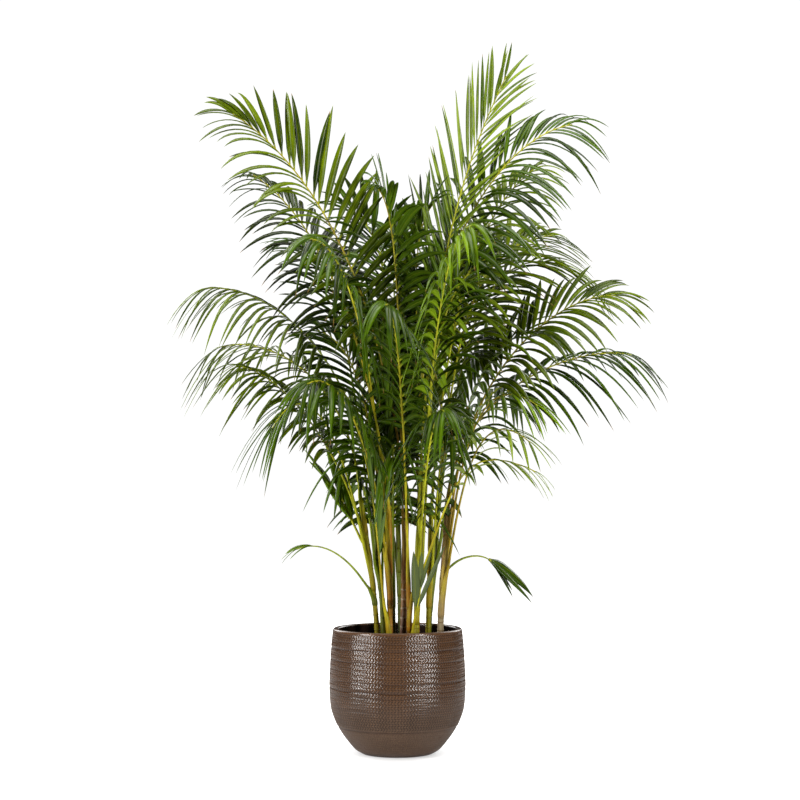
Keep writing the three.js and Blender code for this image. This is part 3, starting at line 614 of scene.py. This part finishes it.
def build_soil():
    sides, rings = 220, 70
    turn = np.arange(sides) * 2 * math.pi / sides
    edge = float(pot_radius(SOIL_LEVEL)) - POT_WALL - 0.6
    rows = []
    for z in (POT_FLOOR + 0.6, 40, 72, 112, 172, 240):
        radius = float(pot_radius(max(z, POT_FLOOR + 10))) - POT_WALL - 0.6
        rows.append(np.stack([radius * np.cos(turn), radius * np.sin(turn), np.full(sides, z)], axis=-1))
    for ring in range(rings):
        radius = edge * (1 - ring / rings)
        x, y = radius * np.cos(turn), radius * np.sin(turn)
        z = soil_height(x, y) - 5 * smooth((radius / edge - 0.93) / 0.07)
        rows.append(np.stack([x, y, z], axis=-1))
    points = np.concatenate(rows)
    faces = loft_faces(len(rows), sides)
    material = soil_material("potting_soil", (26, 18, 13), (62, 46, 34))
    return make_piece("soil_bed", points, faces, material, ["soil"])


CHIP = np.array([
    (-1, -0.7, -0.5), (0.9, -1, -0.4), (1.1, 0.8, -0.6), (-0.8, 1, -0.5),
    (-0.9, -0.9, 0.5), (1, -0.8, 0.6), (0.8, 0.9, 0.4), (-1, 0.8, 0.6),
])
CHIP_FACES = ((0, 3, 2, 1), (4, 5, 6, 7), (0, 1, 5, 4), (1, 2, 6, 5), (2, 3, 7, 6), (3, 0, 4, 7))


def build_bark():
    """Bark chips scattered over the soil, half sunk in it."""
    draw = np.random.default_rng(SOIL_SEED)
    points, faces = [], []
    for _ in range(BARK_CHIPS):
        reach = BARK_REACH * math.sqrt(draw.random())
        angle = draw.random() * 2 * math.pi
        x, y = reach * math.cos(angle), reach * math.sin(angle)
        size = draw.uniform(2.0, 6.5) * np.array([1.3, 0.8, 0.45])
        chip = (CHIP + draw.uniform(-0.25, 0.25, CHIP.shape)) * size
        spin, tilt = draw.uniform(0, 2 * math.pi), draw.uniform(-0.5, 0.5)
        turned = chip @ np.array([
            [math.cos(spin), math.sin(spin), 0], [-math.sin(spin), math.cos(spin), 0], [0, 0, 1],
        ])
        turned[:, 2] += turned[:, 0] * tilt
        base = len(points) * len(CHIP)
        points.append(turned + [x, y, float(soil_height(x, y)) + 1.0])
        faces += [tuple(base + i for i in face) for face in CHIP_FACES]
    material = soil_material("bark_chips", (48, 32, 22), (104, 76, 52))
    piece = make_piece("soil_bark", np.concatenate(points), faces, material, ["soil"])
    bevel = piece.modifiers.new("worn", "BEVEL")
    bevel.width = 0.5 * MM
    return piece


# ---- Canes ------------------------------------------------------------------

def cane_middle(cane, height):
    """Middle of a cane at a height; canes bow outwards towards the top."""
    height = np.asarray(height, dtype=float)
    t = (height - SOIL_LEVEL) / (cane.top[2] - SOIL_LEVEL)
    bow = np.where(t < 0, t / 2, (t * t + t) / 2)
    x = lerp(cane.foot[0], cane.top[0], bow)
    y = lerp(cane.foot[1], cane.top[1], bow)
    return np.stack([x, y, height], axis=-1)


def cane_radius(cane, height):
    t = (height - SOIL_LEVEL) / (cane.top[2] - SOIL_LEVEL)
    return lerp(cane.thick[0], cane.thick[1], np.clip(t, 0, 1))


def build_cane(name, cane):
    """A ringed stem: each leaf scar is a groove over a fine raised edge."""
    draw = np.random.default_rng(CANE_SEED + ord(name))
    scars, at = [], SOIL_LEVEL + draw.uniform(6, 14)
    while at < cane.top[2] - 20:
        scars.append(at)
        at += draw.uniform(13, 20) + 0.075 * (at - SOIL_LEVEL)
    fine = [s + d for s in scars for d in (-3.2, -1.6, -0.7, 0.0, 0.8, 1.8, 4.0)]
    heights = sorted([*np.linspace(CANE_FOOT, cane.top[2], 40), *fine])
    heights = np.array([z for z in heights if CANE_FOOT <= z <= cane.top[2]])
    sides = CANE_SIDES
    turn = np.arange(sides) * 2 * math.pi / sides
    rings, stem = [], []
    scars = np.array(scars)
    for z in heights:
        middle = cane_middle(cane, z)
        tilt = 1.1 * np.sin(turn + 0.05 * z)
        offset = z + tilt - scars[:, None]
        edge, groove = np.exp(-((offset - 0.9) / 1.5) ** 2), np.exp(-((offset + 0.9) / 0.8) ** 2)
        swell = (0.8 * edge - 0.5 * groove).sum(0)
        scar = np.clip(np.exp(-((offset - 0.2) / 1.5) ** 2).sum(0), 0, 1)
        radius = cane_radius(cane, z) + swell
        spots = np.stack([radius * np.cos(turn), radius * np.sin(turn), np.zeros(sides)], axis=-1)
        rings.append(middle + spots)
        age = (z - SOIL_LEVEL) / (cane.top[2] - SOIL_LEVEL)
        stem.append(np.stack([np.full(sides, age), scar, np.zeros(sides)], axis=-1))
    points = np.concatenate(rings)
    marks = {"stem": np.concatenate(stem)}
    faces = loft_faces(len(rings), sides)
    node_name, skin = "cane_" + name, CANE_SKINS[cane.colour]
    return make_piece(node_name + "_stem", points, faces, skin, [node_name], marks)


# ---- Fronds -----------------------------------------------------------------

class Rib:
    """A frond's rib: a curve from beside its cane, or from the cane's top, to its tip."""

    def __init__(self, frond):
        cane = CANES[frond.cane]
        foot = cane_middle(cane, frond.height)
        tip = np.array(frond.tip, dtype=float)
        ahead = tip - foot
        ahead[2] = 0.0
        self.heading = unit(ahead)
        if frond.height < cane.top[2]:
            clear = cane_radius(cane, frond.height) + SCAR_SWELL + RIB_HALF[0] + STALK_GAP
            foot = foot + self.heading * clear
        else:
            foot = foot + UP * TOP_GAP
        span = np.linalg.norm(tip - foot)
        lean, pitch = math.radians(frond.lean), math.radians(frond.pitch)
        start = foot + (self.heading * math.sin(lean) + UP * math.cos(lean)) * frond.rise * span
        end = tip - (self.heading * math.cos(pitch) + UP * math.sin(pitch)) * frond.reach * span
        self.poles = (foot, start, end, tip)
        self.bare = frond.bare
        self.roll = math.radians(frond.roll)
        self.steps = np.linspace(0, 1, 401)
        track = self.point(self.steps)
        lengths = np.linalg.norm(np.diff(track, axis=0), axis=1)
        self.run_length = np.concatenate([[0], np.cumsum(lengths)])
        self.length = self.run_length[-1]

    def point(self, t):
        t = np.asarray(t)[..., None]
        a, b, c, d = self.poles
        return (1 - t) ** 3 * a + 3 * (1 - t) ** 2 * t * b + 3 * (1 - t) * t * t * c + t ** 3 * d

    def places(self, share):
        """Points, and the directions along, to the left and to the face, at shares of the length."""
        share = np.asarray(share, dtype=float)
        t = np.interp(share * self.length, self.run_length, self.steps)
        a, b, c, d = self.poles
        u = t[..., None]
        run = unit((1 - u) ** 2 * (b - a) + 2 * (1 - u) * u * (c - b) + u * u * (d - c))
        level = np.cross(UP, self.heading)
        rise = np.cross(run, level)
        roll = (self.roll * np.clip(share / self.bare, 0, 1))[..., None]
        side = level * np.cos(roll) + rise * np.sin(roll)
        return self.point(t), run, side, np.cross(run, side)


def rib_half(share):
    return RIB_HALF[0] + (RIB_HALF[1] - RIB_HALF[0]) * np.asarray(share) ** 0.8


def build_rib(frond, rib):
    """Sheath round the cane, stalk and rib in one: round below, channelled above."""
    sides = STALK_SIDES
    turn = np.arange(sides) * 2 * math.pi / sides
    cane = CANES[frond.cane]
    rings, stem = [], []
    sheath = min(95.0, 0.16 * rib.length)
    start = rib.places(np.zeros(1))
    foot = start[0][0]
    below = cane_middle(cane, frond.height)
    for k, t in enumerate(np.linspace(0, 1, 15)):
        z = frond.height - sheath + 1.6 * sheath * t
        core = cane_middle(cane, min(z, cane.top[2]))
        core = core + UP * max(z - cane.top[2], 0)
        if z < frond.height:
            stalk = foot + (cane_middle(cane, z) - below)
        else:
            stalk = rib.places(np.array([(z - frond.height) / rib.length]))[0][0]
        share = float(smooth((t - 0.15) / 0.75))
        centre = lerp(core, stalk, share)
        around = float(cane_radius(cane, z)) + (0.4 if k == 0 else 1.3)
        radius = lerp(around, float(rib_half(0)), share) + 1.0 * math.sin(math.pi * share)
        spots = np.stack([radius * np.cos(turn), radius * np.sin(turn), np.zeros(sides)], axis=-1)
        rings.append(centre + spots)
        stem.append(np.tile([0.1 + 0.7 * t, 0.5 if k == 0 else 0.0, 0.0], (sides, 1)))
    first = 0.62 * sheath / rib.length
    bare, feathered = np.linspace(first, frond.bare, 14), np.linspace(frond.bare, RIB_END + 0.01, 30)
    shares = np.concatenate([bare, feathered[1:]])
    point, _, side, face = rib.places(shares)
    phase = math.atan2(start[2][0][1], start[2][0][0])
    for k, share in enumerate(shares):
        half = float(rib_half(share))
        angle = turn - phase
        from_top = (angle - math.pi / 2 + math.pi) % (2 * math.pi) - math.pi
        groove = 1 - 0.28 * np.exp(-(from_top / 0.5) ** 2)
        wide = (half * groove * np.cos(angle))[:, None]
        deep = (half * groove * np.sin(angle))[:, None]
        rings.append(point[k] + side[k] * wide + face[k] * deep)
        stem.append(np.tile([0.8 + 1.1 * share, 0.0, 0.0], (sides, 1)))
    points = np.concatenate(rings)
    faces = loft_faces(len(rings), sides)
    marks = {"stem": np.concatenate(stem)}
    name = "frond_" + frond.name
    skin = STALKS["green" if frond.habit in ("young", "paddle") else cane.colour]
    return make_piece(name + "_stalk", points, faces, skin, [name], marks)


def blade_half(u):
    """Half width along a leaflet, as a share of its widest: narrow foot, long point."""
    opening = lerp(0.24, 1.0, smooth(u / 0.26))
    closing = 1 - np.clip((u - 0.26) / 0.74, 0, 1) ** 3.0
    return opening * closing


def bent_with(start, end, vectors):
    """The vectors, turned by the same bend that turns the start direction into the end one."""
    axis = np.cross(start, end)
    swing = np.cross(axis, vectors)
    return vectors + swing + np.cross(axis, swing) / (1 + (start * end).sum(-1, keepdims=True))


def towards_light(across, over, habit_name):
    """How far blades turn about their own length to lie flat under the light. Paddles stay
    in the plane of their rib."""
    if habit_name == "paddle":
        return np.zeros_like(across[..., 2:3])
    level, flat = across[..., 2:3], over[..., 2:3]
    facing = np.where(flat < 0, -1.0, 1.0)
    steep = np.hypot(level, flat)
    return LIGHT_TURN * steep * np.arctan2(-facing * level, facing * flat)


ACROSS = np.array([-1, -0.55, 0, 0.55, 1, 0.55, 0, -0.55])
LAYER = np.array([0, 1, 1, 1, 0, -1, -1, -1])


def build_blades(frond, rib, index):
    """All leaflets of a frond: narrow blades folded along the midrib, drooping to a point."""
    draw = np.random.default_rng(BLADE_SEED + index)
    habit = HABITS[frond.habit]
    feather = RIB_END - frond.bare
    count = max(2, round(feather * rib.length / (LEAFLET_PITCH * habit.spacing)))
    growth, hand = [], []
    for sign in (-1, 1):
        for k in range(count):
            shift = 0.0 if k in (0, count - 1) else draw.uniform(-0.22, 0.22) + 0.15 * sign
            growth.append((k + shift) / (count - 1))
            hand.append(sign)
    growth, hand = np.clip(np.array(growth), 0, 1), np.array(hand, dtype=float)
    many = len(growth)
    share = frond.bare + feather * growth
    point, run, side, face = rib.places(share)
    point = point + side * (hand * rib_half(share) * 0.5)[:, None]

    sweep = np.radians(lerp(habit.sweep[0], habit.sweep[1], growth ** 2) + draw.normal(0, 2.6, many))
    lift = np.radians(habit.lift + draw.normal(0, 4.0, many))
    droop = habit.droop * (1 + draw.normal(0, 0.13, many))
    length = frond.leaflet * (0.8 + 1.1 * growth - 1.45 * growth ** 2) * (1 + draw.normal(0, 0.045, many))
    width = np.minimum(habit.width, length * BLADE_SHAPE) * (1 - 0.25 * growth)
    width = width * draw.uniform(0.9, 1.06, many)
    out = side * (hand * np.cos(lift))[:, None] + face * np.sin(lift)[:, None]
    aim = run * np.cos(sweep)[:, None] + out * np.sin(sweep)[:, None]
    droop *= 0.2 + 0.8 * np.hypot(aim[:, 0], aim[:, 1])
    twist = np.radians(draw.normal(0, 16, many))
    stray = draw.normal(0, 0.05, many)
    curl = np.where(draw.random(many) < CURLED, draw.uniform(0.5, 1.4, many), 0.0)

    u = np.array(BLADE_STATIONS)[None, :, None]
    spread = droop[:, None, None] * u + curl[:, None, None] * 3 * np.clip(u - CURL_FROM, 0, 1) ** 2
    fall = droop[:, None, None] * u * u / 2 + curl[:, None, None] * np.clip(u - CURL_FROM, 0, 1) ** 3
    first = unit(run - (run * aim).sum(-1, keepdims=True) * aim)
    centre = point[:, None] + length[:, None, None] * (
        aim[:, None] * u - UP * fall + first[:, None] * stray[:, None, None] * u * u
    )
    along = unit(aim[:, None] - UP * spread)
    across = bent_with(aim[:, None], along, first[:, None])
    over = np.cross(across, along) * hand[:, None, None]
    turn = twist[:, None, None] * u + towards_light(across, over, frond.habit) * smooth(u / 0.3)
    across, over = across * np.cos(turn) + over * np.sin(turn), over * np.cos(turn) - across * np.sin(turn)
    half = (width[:, None] / 2 * blade_half(u[..., 0]))[..., None]
    fold = lerp(0.75, 0.3, smooth(u / 0.25)) + 0.25 * smooth((u - 0.6) / 0.4)
    rise = half * fold * (1 - np.abs(ACROSS) ** 1.4)
    thick = BLADE_THICK / 2 * (1 - 0.5 * u) * LAYER
    ring = (
        centre[:, :, None] + across[:, :, None] * (half * ACROSS)[..., None]
        + over[:, :, None] * (rise + thick)[..., None]
    )
    tip_fall = droop / 2 + curl * (1 - CURL_FROM) ** 3
    tip = point + length[:, None] * (aim - UP * tip_fall[:, None] + first * stray[:, None])

    stations, corners = len(BLADE_STATIONS), len(ACROSS)
    each = stations * corners + 1
    points = np.concatenate([ring.reshape(many, -1, 3), tip[:, None]], axis=1).reshape(-1, 3)
    blade = np.zeros((many, each, 3))
    blade[:, :-1, 0] = np.repeat(BLADE_STATIONS, corners)
    blade[:, :-1, 1] = np.tile(ACROSS, stations)
    blade[:, :-1, 2] = np.tile((1 - LAYER) / 2, stations)
    blade[:, -1] = (1, 0, 0.5)
    # Each leaflet's tone is drawn at random and scaled down towards the frond's foot: partly the older
    # leaflets there, partly painted shade deep in the plant.
    tone = np.repeat(draw.uniform(0.0, 0.6, many) * lerp(0.6, 1.25, growth), each)
    pattern = loft_faces(stations, corners, closed_ends=False)
    pattern.append(tuple(reversed(range(corners))))
    last = (stations - 1) * corners
    pattern += [(last + i, last + (i + 1) % corners, each - 1) for i in range(corners)]
    faces = []
    for k in range(many):
        base = k * each
        for corner_list in pattern:
            moved = tuple(base + i for i in corner_list)
            faces.append(moved if hand[k] > 0 else moved[::-1])
    name = "frond_" + frond.name
    marks = {"blade": blade.reshape(-1, 3), "tone": tone}
    return make_piece(name + "_blades", points, faces, LEAVES[frond.tone], [name], marks)


build_pot()
build_soil()
build_bark()
for cane_name, cane in CANES.items():
    build_cane(cane_name, cane)
for number, frond in enumerate(FRONDS):
    rib = Rib(frond)
    build_rib(frond, rib)
    build_blades(frond, rib, number)


# ---- Floor, light and camera ------------------------------------------------

def build_floor():
    """A white floor. The camera sees it brightened, less so close round the planter, which paints a soft
    contact shadow there.
    """
    mesh = bpy.data.meshes.new("floor")
    reach = 30.0
    corners = [(-reach, -reach, 0), (reach, -reach, 0), (reach, reach, 0), (-reach, reach, 0)]
    mesh.from_pydata([(x, y, -0.0005) for x, y, _ in corners], [], [(0, 1, 2, 3)])
    material, tree, shader = new_material("white_floor")
    seen = node(tree, "LightPath").outputs["Is Camera Ray"]
    place = node(tree, "TexCoord").outputs["Object"]
    squeezed = node(tree, "VectorMath", {"operation": "MULTIPLY"}, {0: place, 1: (1.5, 1, 1)}).outputs[0]
    away = node(tree, "VectorMath", {"operation": "LENGTH"}, {0: squeezed}).outputs["Value"]
    # Less glow close round the planter's foot: a painted contact shadow.
    bright = ranged(tree, away, 0.08, 0.27, 0.2, 0.98)
    shader["Base Color"].default_value = (0.6, 0.6, 0.6, 1)
    shader["Roughness"].default_value = 0.9
    shader["Specular IOR Level"].default_value = 0.1
    shader["Emission Color"].default_value = (1, 1, 1, 1)
    feed(tree, shader["Emission Strength"], sums(tree, "MULTIPLY", seen, bright))
    mesh.materials.append(material)
    floor = bpy.data.objects.new("floor", mesh)
    bpy.context.scene.collection.objects.link(floor)


def soft_box(name, place, target, size, power):
    lamp = bpy.data.lights.new(name, "AREA")
    lamp.shape = "RECTANGLE"
    lamp.size, lamp.size_y = size
    lamp.energy = power
    made = bpy.data.objects.new(name, lamp)
    made.location = place
    made.rotation_euler = (Vector(target) - Vector(place)).to_track_quat("-Z", "Y").to_euler()
    bpy.context.scene.collection.objects.link(made)


def light_studio():
    world = bpy.data.worlds.new("studio")
    world.use_nodes = True
    tree = world.node_tree
    seen = node(tree, "LightPath").outputs["Is Camera Ray"]
    back = tree.nodes["Background"].inputs
    back["Color"].default_value = (1, 1, 1, 1)
    feed(tree, back["Strength"], ranged(tree, seen, 0.0, 1.0, 0.07, 1.05))
    bpy.context.scene.world = world
    soft_box("key_left", (-3.3, -2.0, 1.32), (0, 0, 1.32), (0.4, 2.6), 225)
    soft_box("key_right", (2.6, -2.9, 1.32), (0, 0, 1.32), (0.3, 2.6), 195)
    soft_box("top", (0, -0.2, 4.4), (0, 0, 0.5), (3.0, 2.4), 190)
    soft_box("back_left", (-2.4, 3.0, 2.2), (0, 0, 1.0), (2.4, 2.6), 110)
    soft_box("back_right", (2.4, 3.0, 2.2), (0, 0, 1.0), (2.4, 2.6), 110)


def place_camera():
    lens = bpy.data.cameras.new("camera")
    lens.sensor_width = SENSOR_WIDTH
    lens.lens = FOCAL_LENGTH
    camera = bpy.data.objects.new("camera", lens)
    camera.location = CAMERA_PLACE
    aim = Vector(CAMERA_AIM)
    camera.rotation_euler = (aim - camera.location).to_track_quat("-Z", "Y").to_euler()
    bpy.context.scene.collection.objects.link(camera)
    bpy.context.scene.camera = camera


build_floor()
light_studio()
place_camera()
bpy.context.scene.view_settings.view_transform = "Standard"
